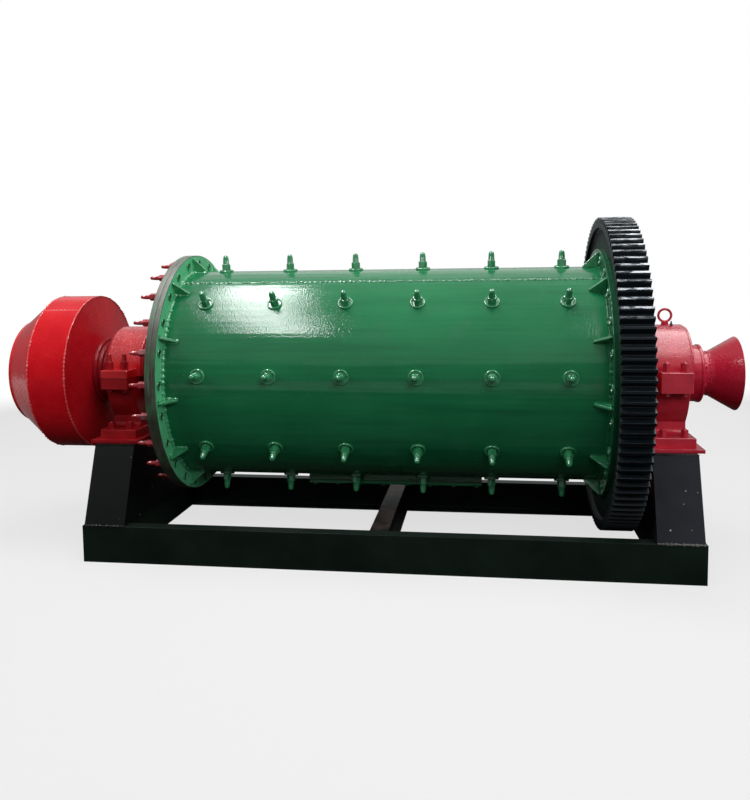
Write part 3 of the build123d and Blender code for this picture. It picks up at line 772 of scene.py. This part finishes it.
# the rear beam takes a lighter copy of the frame paint: painted light in its deep shade
LIT_REAR_FRAME_PAINT = black_paint("lit_rear_frame_paint", "2C3A33", "3A4A42", 0.03)
LEFT_STAND_PAINT = black_paint("left_stand_paint", "070909", "0F1211", 0.35)
RIGHT_STAND_PAINT = black_paint("right_stand_paint", "1E2025", "2C2E34", 0.9)
LEFT_WELD_PAINT = black_paint("left_weld_paint", "141816", "2A2E2A", 0.3)
RIGHT_WELD_PAINT = black_paint("right_weld_paint", "343634", "6A6C68", 0.3)
SEALING_COMPOUND = sealing_compound()
DARK_STEEL = dark_steel()
STAINED_FRAME_PAINT = stained_frame_paint()
GEAR_STEEL_WITH_TIP_GLINTS = gear_cast_steel()
GEAR_WEB_PAINT = gear_web_paint()
BEARING_BRONZE = bearing_bronze()

NODE_MATERIALS = {
    "drum_shell": DRUM_ENAMEL,
    "manhole_frame": DRUM_ENAMEL,
    "manhole_cover": DRUM_ENAMEL,
    "left_shell_flange": LIT_GREEN_FLANGE,
    "right_shell_flange": SHADED_FLANGE_ENAMEL,
    "left_flange_gussets": FITTING_ENAMEL_WITH_SHEEN,
    "right_flange_gussets": FITTING_ENAMEL_WITH_SHEEN,
    "feed_head": RED_HEAD,
    "discharge_head": HEAD_ENAMEL,
    "feed_trunnion": HEAD_ENAMEL,
    "discharge_trunnion": DISCHARGE_ENAMEL,
    "girth_gear": GEAR_STEEL_WITH_TIP_GLINTS,
    "girth_gear_web": GEAR_WEB_PAINT,
    "feeder_band": BAND_ENAMEL,
    "feeder_front_cone": FEEDER_ENAMEL,
    "feeder_back_wall": WALL_ENAMEL,
    "feeder_neck_rings": SHADED_NECK_ENAMEL,
    "discharge_flange": DISCHARGE_ENAMEL,
    "discharge_bell": DISCHARGE_ENAMEL,
    "front_beam": FRAME_PAINT,
    "rear_beam": LIT_REAR_FRAME_PAINT,
    "centre_cross_member": STAINED_FRAME_PAINT,
    "left_end_cross_members": FRAME_PAINT,
    "right_end_cross_members": FRAME_PAINT,
    "left_end_support": LEFT_STAND_PAINT,
    "right_end_support": RIGHT_STAND_PAINT,
    "left_sole_plate": LEFT_BEARING_ENAMEL,
    "right_sole_plate": RIGHT_BEARING_ENAMEL,
    "left_bearing_housing": LEFT_BEARING_ENAMEL,
    "right_bearing_housing": RIGHT_BEARING_ENAMEL,
    "left_bearing_cap": LIT_LEFT_CAP_ENAMEL,
    "right_bearing_cap": RIGHT_BEARING_ENAMEL,
    "left_bearing_bush": BEARING_BRONZE,
    "right_bearing_bush": BEARING_BRONZE,
    "left_bearing_end_rings": LEFT_BEARING_ENAMEL,
    "right_bearing_end_rings": RIGHT_BEARING_ENAMEL,
    "cap_eyebolt": RIGHT_BEARING_ENAMEL,
}


def dress_nodes():
    # each node gets its finish, and its edges are broken a little, as real ones are, and catch the light
    for name, material in NODE_MATERIALS.items():
        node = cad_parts[name]
        node.data.materials.clear()
        node.data.materials.append(material)
        node.data.attributes.remove(node.data.attributes["custom_normal"])
        node.data.shade_smooth()
        joined = node.modifiers.new("joined_faces", "WELD")
        joined.merge_threshold = MERGE_DISTANCE
        broken = node.modifiers.new("broken_edges", "BEVEL")
        broken.width = FINE_EDGE_RADIUS if name in FINE_EDGED else EDGE_RADIUS
        broken.segments = EDGE_SEGMENTS
        broken.limit_method = "ANGLE"
        broken.angle_limit = math.radians(SHARP_ANGLE)
        broken.harden_normals = False
        broken.loop_slide = False
        node.modifiers.new("even_shading", "WEIGHTED_NORMAL")


# drum fittings
def liner_bolt(mesh, x, angle):
    foot = on_circle(x, SHELL_RADIUS - SUNK, angle)
    place = standing_on(foot, outward(angle), turn=x * LINER_NUT_TURN)
    dish = [(0, 0), (LINER_WASHER_RADIUS, 0)]
    for step in range(LINER_RIM_STEPS + 1):
        turn = math.pi * step / LINER_RIM_STEPS
        reach = LINER_WASHER_RADIUS - LINER_WASHER_RIM * (1 - math.cos(turn)) / 2
        dish.append((reach, LINER_WASHER_HEIGHT * (LINER_RIM_FOOT + LINER_RIM_CROWN * math.sin(turn))))
    dish += [(LINER_WASHER_RADIUS - LINER_WASHER_RIM, WASHER_THICKNESS), (0, WASHER_THICKNESS)]
    lathe(mesh, place, dish, LINER_DISH_STEPS)
    nut(mesh, place, LINER_NUT_FLATS, WASHER_THICKNESS, LINER_NUT_HEIGHT)
    nut_top = WASHER_THICKNESS + LINER_NUT_HEIGHT - SUNK
    stud(mesh, place, LINER_STUD_RADIUS, LINER_TIP_RADIUS, nut_top, LINER_BOLT_REACH)


def over_manhole(x, angle):
    inside_arc = abs((angle - MANHOLE_ANGLE + 180) % 360 - 180) < MANHOLE_CLEAR_ANGLE
    between = low("manhole_frame").x < x < high("manhole_frame").x
    return inside_arc and between


def liner_bolts():
    for row in range(LINER_ROWS):
        angle = FIRST_LINER_ROW - LINER_ROW_PITCH * row
        mesh = bmesh.new()
        for column in range(LINER_COLUMNS):
            x = SHELL_MIDDLE + LINER_COLUMN_PITCH * (column - (LINER_COLUMNS - 1) / 2)
            if not over_manhole(x, angle):
                liner_bolt(mesh, x, angle)
        finish_piece(f"liner_bolt_row_{row + 1}", mesh, "drum", FITTING_ENAMEL_WITH_SHEEN)


def flange_bolt_places(face, out, turn):
    # one place for each bolt, on a face of the flange or the head
    places = []
    for index in range(FLANGE_BOLTS):
        point = on_circle(face, FLANGE_BOLT_CIRCLE, FLANGE_BOLT_PITCH * index)
        places.append(standing_on(point, Vector((out, 0, 0)), index * turn))
    return places


def head_studs(side, face, out):
    # long studs with a washer and two nuts, on the outer face of the head
    studs = bmesh.new()
    nuts = bmesh.new()
    second_nut = WASHER_THICKNESS + HEAD_NUT_HEIGHT + HEAD_NUT_GAP
    start = WASHER_THICKNESS + 2 * HEAD_NUT_HEIGHT
    for place in flange_bolt_places(face, out, HEAD_NUT_TURN):
        washer(nuts, place, HEAD_WASHER_RADIUS)
        nut(nuts, place, HEAD_NUT_FLATS, WASHER_THICKNESS, HEAD_NUT_HEIGHT)
        nut(nuts, place, HEAD_NUT_FLATS, second_nut, HEAD_NUT_HEIGHT)
        stud(studs, place, HEAD_STUD_RADIUS, HEAD_TIP_RADIUS, start, HEAD_STUD_REACH)
    finish_piece(f"{side}_head_studs", studs, "drum", STUD_ENAMEL)
    finish_piece(f"{side}_head_nuts", nuts, "drum", MISTED_ZINC)


def flange_bolt_ends(side, face, out):
    # sunk bolt ends on the drum side of the flange, each in a low ring of paint
    rings = bmesh.new()
    ends = bmesh.new()
    ring = [(BOLT_END_RADIUS + past, height) for past, height in PAINT_RING]
    end = [(BOLT_END_EDGE * share, height) for share, height in BOLT_END]
    for place in flange_bolt_places(face, out, BOLT_END_TURN):
        lathe(rings, place, ring, BOLT_END_STEPS)
        lathe(ends, place, end, BOLT_END_STEPS)
    finish_piece(f"{side}_flange_bolt_rings", rings, "drum", FITTING_ENAMEL_WITH_SHEEN)
    finish_piece(f"{side}_flange_bolt_ends", ends, "drum", BOLT_END_SHADE)


def seam_stations(left, right, radius, angle):
    # stations of a weld along the drum
    across = outward(angle).cross(Vector((1, 0, 0)))
    start = on_circle(left, radius, angle)
    return straight_stations(start, on_circle(right, radius, angle), outward(angle), across)


def drum_welds():
    # the seam of the rolled shell, and the welds at both flanges
    seam = bmesh.new()
    stations = seam_stations(LEFT_FACE, RIGHT_FACE, SHELL_RADIUS, SHELL_SEAM_ANGLE)
    weld_bead(seam, stations, SEAM_WIDTH, SEAM_HEIGHT, SHELL_SEAM_SEED, lump=SEAM_LUMP)
    finish_weld("shell_seam_weld", seam, "drum", SEAM_ENAMEL)
    # the left welds are painted lighter and the right darker: painted light and painted shade
    flange_welds("left", LEFT_FACE, 1, 1, LIT_WELD_ENAMEL)
    flange_welds("right", RIGHT_FACE, -1, RIGHT_WELD_SHARE, SHADED_WELD_ENAMEL)


def flange_welds(side, face, out, share, paint):
    # a fillet round the shell and a run down each side of every gusset
    fillet = bmesh.new()
    stations = ring_stations(face + out * FILLET_OFFSET, SHELL_RADIUS + FILLET_OFFSET, FILLET_LEAN * out)
    width = FILLET_WIDTH * share
    height = FILLET_HEIGHT * share
    seed = FILLET_SEED + out
    weld_bead(fillet, stations, width, height, seed, closed=True, lump=FILLET_LUMP, dip=FILLET_DIP)
    finish_weld(f"{side}_shell_weld", fillet, "drum", paint)
    runs = bmesh.new()
    for index in range(GUSSETS):
        angle = FIRST_GUSSET + 360 / GUSSETS * index
        gusset_welds(runs, face, out, angle, share, FIRST_GUSSET_SEED + GUSSET_SEED_STEP * index)
    finish_weld(f"{side}_gusset_welds", runs, "drum", paint)


def gusset_welds(mesh, face, out, angle, share, seed):
    # one run down each side of a gusset, along the shell and up the flange
    up = outward(angle)
    aside = up.cross(Vector((1, 0, 0)))
    along = Vector((out, 0, 0))
    width = GUSSET_WELD_WIDTH * share
    height = GUSSET_WELD_HEIGHT * share
    for hand in (-1, 1):
        edge = aside * hand * (GUSSET_THICKNESS / 2 + GUSSET_WELD_ASIDE)
        foot = on_circle(face, SHELL_RADIUS + GUSSET_WELD_LIFT, angle) + edge
        rise = (up + aside * hand).normalized()
        across = (up - aside * hand).normalized()
        stations = straight_stations(foot, foot + along * GUSSET_LENGTH, rise, across)
        weld_bead(mesh, stations, width, height, seed + hand)
        rise = (along + aside * hand).normalized()
        across = (along - aside * hand).normalized()
        start = foot + along * GUSSET_WELD_LIFT
        top = foot + up * (FLANGE_RADIUS - SHELL_RADIUS - GUSSET_WELD_BELOW_RIM) + along * GUSSET_WELD_LIFT
        stations = straight_stations(start, top, rise, across)
        weld_bead(mesh, stations, width, height, seed + hand + UPRIGHT_RUN_SEED)


def manhole_fittings():
    # a row of nuts along each side of the cover and three at each end
    mesh = bmesh.new()
    start = low("manhole_frame").x + MANHOLE_MARGIN
    end = high("manhole_frame").x - MANHOLE_MARGIN
    for hand in (-1, 1):
        for step in range(MANHOLE_SIDE_NUTS):
            x = start + (end - start) * step / (MANHOLE_SIDE_NUTS - 1)
            manhole_nut(mesh, x, MANHOLE_ANGLE + hand * MANHOLE_SIDE_ANGLE)
    for step in (-1, 0, 1):
        for x in (start, end):
            manhole_nut(mesh, x, MANHOLE_ANGLE + step * MANHOLE_END_PITCH)
    finish_piece("manhole_nuts", mesh, "drum", FITTING_ENAMEL_WITH_SHEEN)


def manhole_nut(mesh, x, angle):
    foot = on_circle(x, SHELL_RADIUS + MANHOLE_LIFT, angle)
    place = standing_on(foot, outward(angle), turn=x * MANHOLE_NUT_TURN)
    washer(mesh, place, MANHOLE_WASHER_RADIUS)
    nut(mesh, place, MANHOLE_NUT_FLATS, WASHER_THICKNESS, MANHOLE_NUT_HEIGHT)


# bearings
def bearing_bolt(mesh, x, y, z, turn, nut_height, reach):
    # washer, nut and rounded thread end, upright on a flange
    place = standing_on(Vector((x, y, z)), Vector((0, 0, 1)), turn)
    washer(mesh, place, BEARING_WASHER_RADIUS)
    nut(mesh, place, BEARING_NUT_FLATS, WASHER_THICKNESS, nut_height)
    nut_top = WASHER_THICKNESS + nut_height - SUNK
    stud(mesh, place, BEARING_STUD_RADIUS, BEARING_TIP_RADIUS, nut_top, reach)


def bearing_bolts(side, cap_stud):
    mesh = bmesh.new()
    for hand_x in (-1, 1):
        for hand_y in (-1, 1):
            x = BEARINGS[side] + hand_x * CAP_BOLT_X
            y = hand_y * CAP_BOLT_Y
            bearing_bolt(mesh, x, y, CAP_FLANGE_TOP, hand_x * CAP_NUT_TURN, BEARING_NUT_HEIGHT, cap_stud)
            under = Vector((x, y, HOUSING_FLANGE_UNDERSIDE))
            place = standing_on(under, Vector((0, 0, -1)), UNDER_NUT_TURN)
            nut(mesh, place, BEARING_NUT_FLATS, 0, UNDER_NUT_HEIGHT)
            x = BEARINGS[side] + hand_x * FOOT_BOLT_X
            y = hand_y * FOOT_BOLT_Y
            bearing_bolt(mesh, x, y, FOOT_TOP, hand_y * FOOT_NUT_TURN, FOOT_NUT_HEIGHT, FOOT_STUD)
    paint = LEFT_BEARING_ENAMEL if side == "left" else RIGHT_BEARING_ENAMEL
    finish_piece(f"{side}_bearing_bolts", mesh, "base", paint)


def discharge_bolts():
    mesh = bmesh.new()
    face = high("discharge_flange").x
    circle = (high("discharge_flange").y + DISCHARGE_FACE_INSIDE) / 2
    for index in range(DISCHARGE_BOLTS):
        point = on_circle(face, circle, FIRST_DISCHARGE_BOLT + 360 / DISCHARGE_BOLTS * index)
        place = standing_on(point, Vector((1, 0, 0)), index * DISCHARGE_NUT_TURN)
        washer(mesh, place, DISCHARGE_WASHER_RADIUS, DISCHARGE_WASHER_THICKNESS)
        nut(mesh, place, DISCHARGE_NUT_FLATS, DISCHARGE_WASHER_THICKNESS, DISCHARGE_NUT_HEIGHT)
    finish_piece("discharge_bolts", mesh, "drum", DISCHARGE_ENAMEL)


def feeder_welds():
    # one run round each edge of the band, and one across it where the rolled plate meets
    mesh = bmesh.new()
    radius = high("feeder_band").y
    left = low("feeder_band").x
    right = high("feeder_band").x
    edges = ((left, FEEDER_WELD_LEAN), (right, -FEEDER_WELD_LEAN))
    for seed, (x, lean) in enumerate(edges, FIRST_FEEDER_SEED):
        stations = ring_stations(x, radius - SUNK, lean)
        weld_bead(mesh, stations, FEEDER_WELD_WIDTH, FEEDER_WELD_HEIGHT, seed, closed=True, lump=FEEDER_LUMP)
    left += FEEDER_SEAM_MARGIN
    right -= FEEDER_SEAM_MARGIN
    stations = seam_stations(left, right, radius, FEEDER_SEAM_ANGLE)
    weld_bead(mesh, stations, FEEDER_WELD_WIDTH, FEEDER_WELD_HEIGHT, FEEDER_SEAM_SEED, lump=FEEDER_LUMP)
    finish_weld("feeder_seam_welds", mesh, "drum", LIT_FEEDER_WELD_ENAMEL)


def discharge_welds():
    # round both ends of the short neck between the flange and the bell
    mesh = bmesh.new()
    flange = high("discharge_flange").x
    ends = ((flange + NECK_WELD_OFFSET, NECK_WELD_LEAN), (flange + BELL_NECK_LENGTH, BELL_WELD_LEAN))
    for seed, (x, lean) in enumerate(ends, FIRST_NECK_SEED):
        stations = ring_stations(x, BELL_NECK_RADIUS, lean)
        weld_bead(mesh, stations, NECK_WELD_WIDTH, NECK_WELD_HEIGHT, seed, closed=True)
    finish_weld("discharge_neck_welds", mesh, "drum", DISCHARGE_ENAMEL)


def cap_grease_nipple():
    # a small steel nipple in a hexagon base, near the crown of the right cap
    mesh = bmesh.new()
    x = BEARINGS["right"] + GREASE_NIPPLE_OFFSET_X
    foot = on_circle(x, CAP_TOP - AXIS_HEIGHT - SUNK, GREASE_NIPPLE_ANGLE)
    place = standing_on(foot, outward(GREASE_NIPPLE_ANGLE))
    nut(mesh, place, GREASE_NIPPLE_FLATS, 0, GREASE_NIPPLE_FOOT)
    lathe(mesh, place, GREASE_NIPPLE, GREASE_NIPPLE_STEPS)
    finish_piece("cap_grease_nipple", mesh, "base", DARK_STEEL)


def split_line():
    # sealing compound squeezed out between the left cap and its housing
    mesh = bmesh.new()
    edge_x = SPLIT_FLANGE_HALF_WIDTH
    edge_y = high("left_bearing_cap").y
    corners = [(-edge_x, CAP_SHOULDER_Y), (-edge_x, edge_y), (edge_x, edge_y), (edge_x, CAP_SHOULDER_Y)]
    for hand in (-1, 1):
        points = [Vector((BEARINGS["left"] + x, hand * y, AXIS_HEIGHT)) for x, y in corners]
        outsides = [Vector((-1, 0, 0)), Vector((0, hand, 0)), Vector((1, 0, 0))]
        for first, second, outside in zip(points, points[1:], outsides):
            proud = outside * SPLIT_LINE_PROUD
            stations = straight_stations(first + proud, second + proud, outside, Vector((0, 0, 1)))
            weld_bead(
                mesh, stations, SPLIT_LINE_WIDTH, SPLIT_LINE_HEIGHT, SPLIT_LINE_SEED, lump=SPLIT_LINE_LUMP)
    finish_weld("left_split_line", mesh, "base", SEALING_COMPOUND)


def support_welds(side, paint):
    # a stand is welded to the beams below it, and its own plates along the top edge
    mesh = bmesh.new()
    stand = f"{side}_end_support"
    foot = (low(stand).z, high(stand).y, 1)
    top = (low(f"{side}_sole_plate").z, SUPPORT_TOP_REACH, -1)
    for hand in (-1, 1):
        for seed, (height, reach, lift) in enumerate((foot, top), FIRST_SUPPORT_SEED):
            start = Vector((low(stand).x, hand * reach, height + lift * SUPPORT_WELD_OFFSET))
            end = Vector((high(stand).x, hand * reach, height + lift * SUPPORT_WELD_OFFSET))
            rise = Vector((0, hand, lift)).normalized()
            across = Vector((0, hand, -lift)).normalized()
            stations = straight_stations(start, end, rise, across)
            weld_bead(mesh, stations, FRAME_WELD_WIDTH, FRAME_WELD_HEIGHT, seed + hand)
    finish_weld(f"{side}_support_welds", mesh, "base", paint)


# the view and the light
def camera():
    data = bpy.data.cameras.new("camera")
    data.sensor_fit = "VERTICAL"
    data.sensor_height = SENSOR
    data.lens = FOCAL_LENGTH_PIXELS / PICTURE_HEIGHT * SENSOR
    data.shift_y = (LEVEL_ROW_PIXELS - PICTURE_HEIGHT / 2) / PICTURE_HEIGHT
    view = bpy.data.objects.new("camera", data)
    turn = Matrix.Rotation(math.radians(CAMERA_TURN), 4, "Z")
    tilt = Matrix.Rotation(math.radians(90 + CAMERA_TILT), 4, "X")
    roll = Matrix.Rotation(math.radians(CAMERA_ROLL), 4, "Z")
    view.matrix_world = Matrix.Translation(CAMERA_PLACE) @ turn @ tilt @ roll
    bpy.context.scene.collection.objects.link(view)
    bpy.context.scene.camera = view


def soft_lamp(name, lamp, seen_in_gloss):
    # a lamp that the gloss doesn't show gives the even light, the roof windows only their reflections
    data = bpy.data.lights.new(name, "AREA")
    data.shape = "RECTANGLE"
    data.size, data.size_y = lamp["size"]
    data.energy = lamp["power"]
    held = bpy.data.objects.new(name, data)
    place = Vector(lamp["place"])
    direction = Vector((0, 0, -1)) if seen_in_gloss else LAMP_AIM - place
    held.matrix_world = Matrix.Translation(place) @ direction.to_track_quat("-Z", "Y").to_matrix().to_4x4()
    held.visible_glossy = seen_in_gloss
    held.visible_diffuse = not seen_in_gloss
    bpy.context.scene.collection.objects.link(held)


def hall_walls():
    # dim walls round the room, which only the gloss shows
    material = new_material("dim_wall")
    dim = add_node(material, "ShaderNodeEmission", {"Color": srgb("8C9294"), "Strength": 1.0})
    add_node(material, "ShaderNodeOutputMaterial", {"Surface": dim})
    mesh = bmesh.new()
    outline = [(WALL_DISTANCE, 0), (WALL_DISTANCE, WALL_HEIGHT)]
    lathe(mesh, Matrix.Translation((0, 0, WALL_FOOT)), outline, WALL_STEPS)
    walls = add_object("hall_walls", mesh, material)
    walls.visible_camera = False
    walls.visible_diffuse = False
    walls.visible_shadow = False
    walls.visible_transmission = False


def seen_by_eye(material):
    # 1 for what the eye sees straight, mirrored or through glass
    seen = 0
    for ray in ("Is Camera Ray", "Is Glossy Ray", "Is Transmission Ray"):
        way = add_node(material, "ShaderNodeLightPath", output=ray)
        seen = add_node(material, "ShaderNodeMath", {0: way, 1: seen}, operation="MAXIMUM")
    return seen


def surroundings():
    # the room is white to the eye, and gives little light
    world = bpy.data.worlds.new("white_room")
    bpy.context.scene.world = world
    world.use_nodes = True
    world.node_tree.nodes.clear()
    seen = seen_by_eye(world)
    level = add_node(world, "ShaderNodeMapRange", {"Value": seen, "To Min": SKY_LEVEL, "To Max": 1})
    sky = add_node(world, "ShaderNodeBackground", {"Color": srgb("FFFFFF"), "Strength": level})
    add_node(world, "ShaderNodeOutputWorld", {"Surface": sky})


def pale_floor():
    # near the machine the floor keeps a light shadow of it, and far off it is white
    material, place = start_finish("pale_floor")
    straight = add_node(material, "ShaderNodeLightPath", output="Is Camera Ray")
    colours = {0: straight, 6: srgb("4C4C4C"), 7: srgb("DCDCDC")}
    tone = add_node(material, "ShaderNodeMix", colours, 2, data_type="RGBA")
    painted = add_node(material, "ShaderNodeBsdfDiffuse", {"Color": tone})
    glow = add_node(material, "ShaderNodeEmission", {"Color": srgb("FFFFFF"), "Strength": 1.0})
    away = add_node(material, "ShaderNodeVectorMath", {0: place}, "Value", operation="LENGTH")
    reach = {"Value": away, "From Min": SHADOWED_FLOOR_REACH, "From Max": WHITE_FLOOR_REACH}
    fade = add_node(material, "ShaderNodeMapRange", reach)
    least = add_node(material, "ShaderNodeMath", {0: straight, 1: FLOOR_GLOW}, operation="MULTIPLY")
    most = add_node(material, "ShaderNodeMath", {0: fade, 1: least}, operation="MAXIMUM")
    seen = {0: seen_by_eye(material), 1: most}
    share = add_node(material, "ShaderNodeMath", seen, operation="MULTIPLY")
    surface = add_node(material, "ShaderNodeMixShader", {0: share, 1: painted, 2: glow})
    add_node(material, "ShaderNodeOutputMaterial", {"Surface": surface})
    mesh = bmesh.new()
    bmesh.ops.create_grid(mesh, x_segments=2, y_segments=2, size=FLOOR_SIZE / 2)
    floor = add_object("floor", mesh, material)
    floor.location.z = -FLOOR_DROP


dress_nodes()
liner_bolts()
head_studs("left", LEFT_HEAD_FACE, -1)
head_studs("right", RIGHT_HEAD_FACE, 1)
flange_bolt_ends("left", LEFT_FACE, 1)
flange_bolt_ends("right", RIGHT_FACE, -1)
drum_welds()
manhole_fittings()
bearing_bolts("left", LONG_CAP_STUD)
bearing_bolts("right", SHORT_CAP_STUD)
discharge_bolts()
discharge_welds()
feeder_welds()
cap_grease_nipple()
split_line()
support_welds("left", LEFT_WELD_PAINT)
support_welds("right", RIGHT_WELD_PAINT)

camera()
for name, lamp in LAMPS.items():
    soft_lamp(name, lamp, False)
for name, window in ROOF_WINDOWS.items():
    soft_lamp(name, window, True)
surroundings()
hall_walls()
pale_floor()
bpy.context.scene.view_settings.view_transform = "Standard"
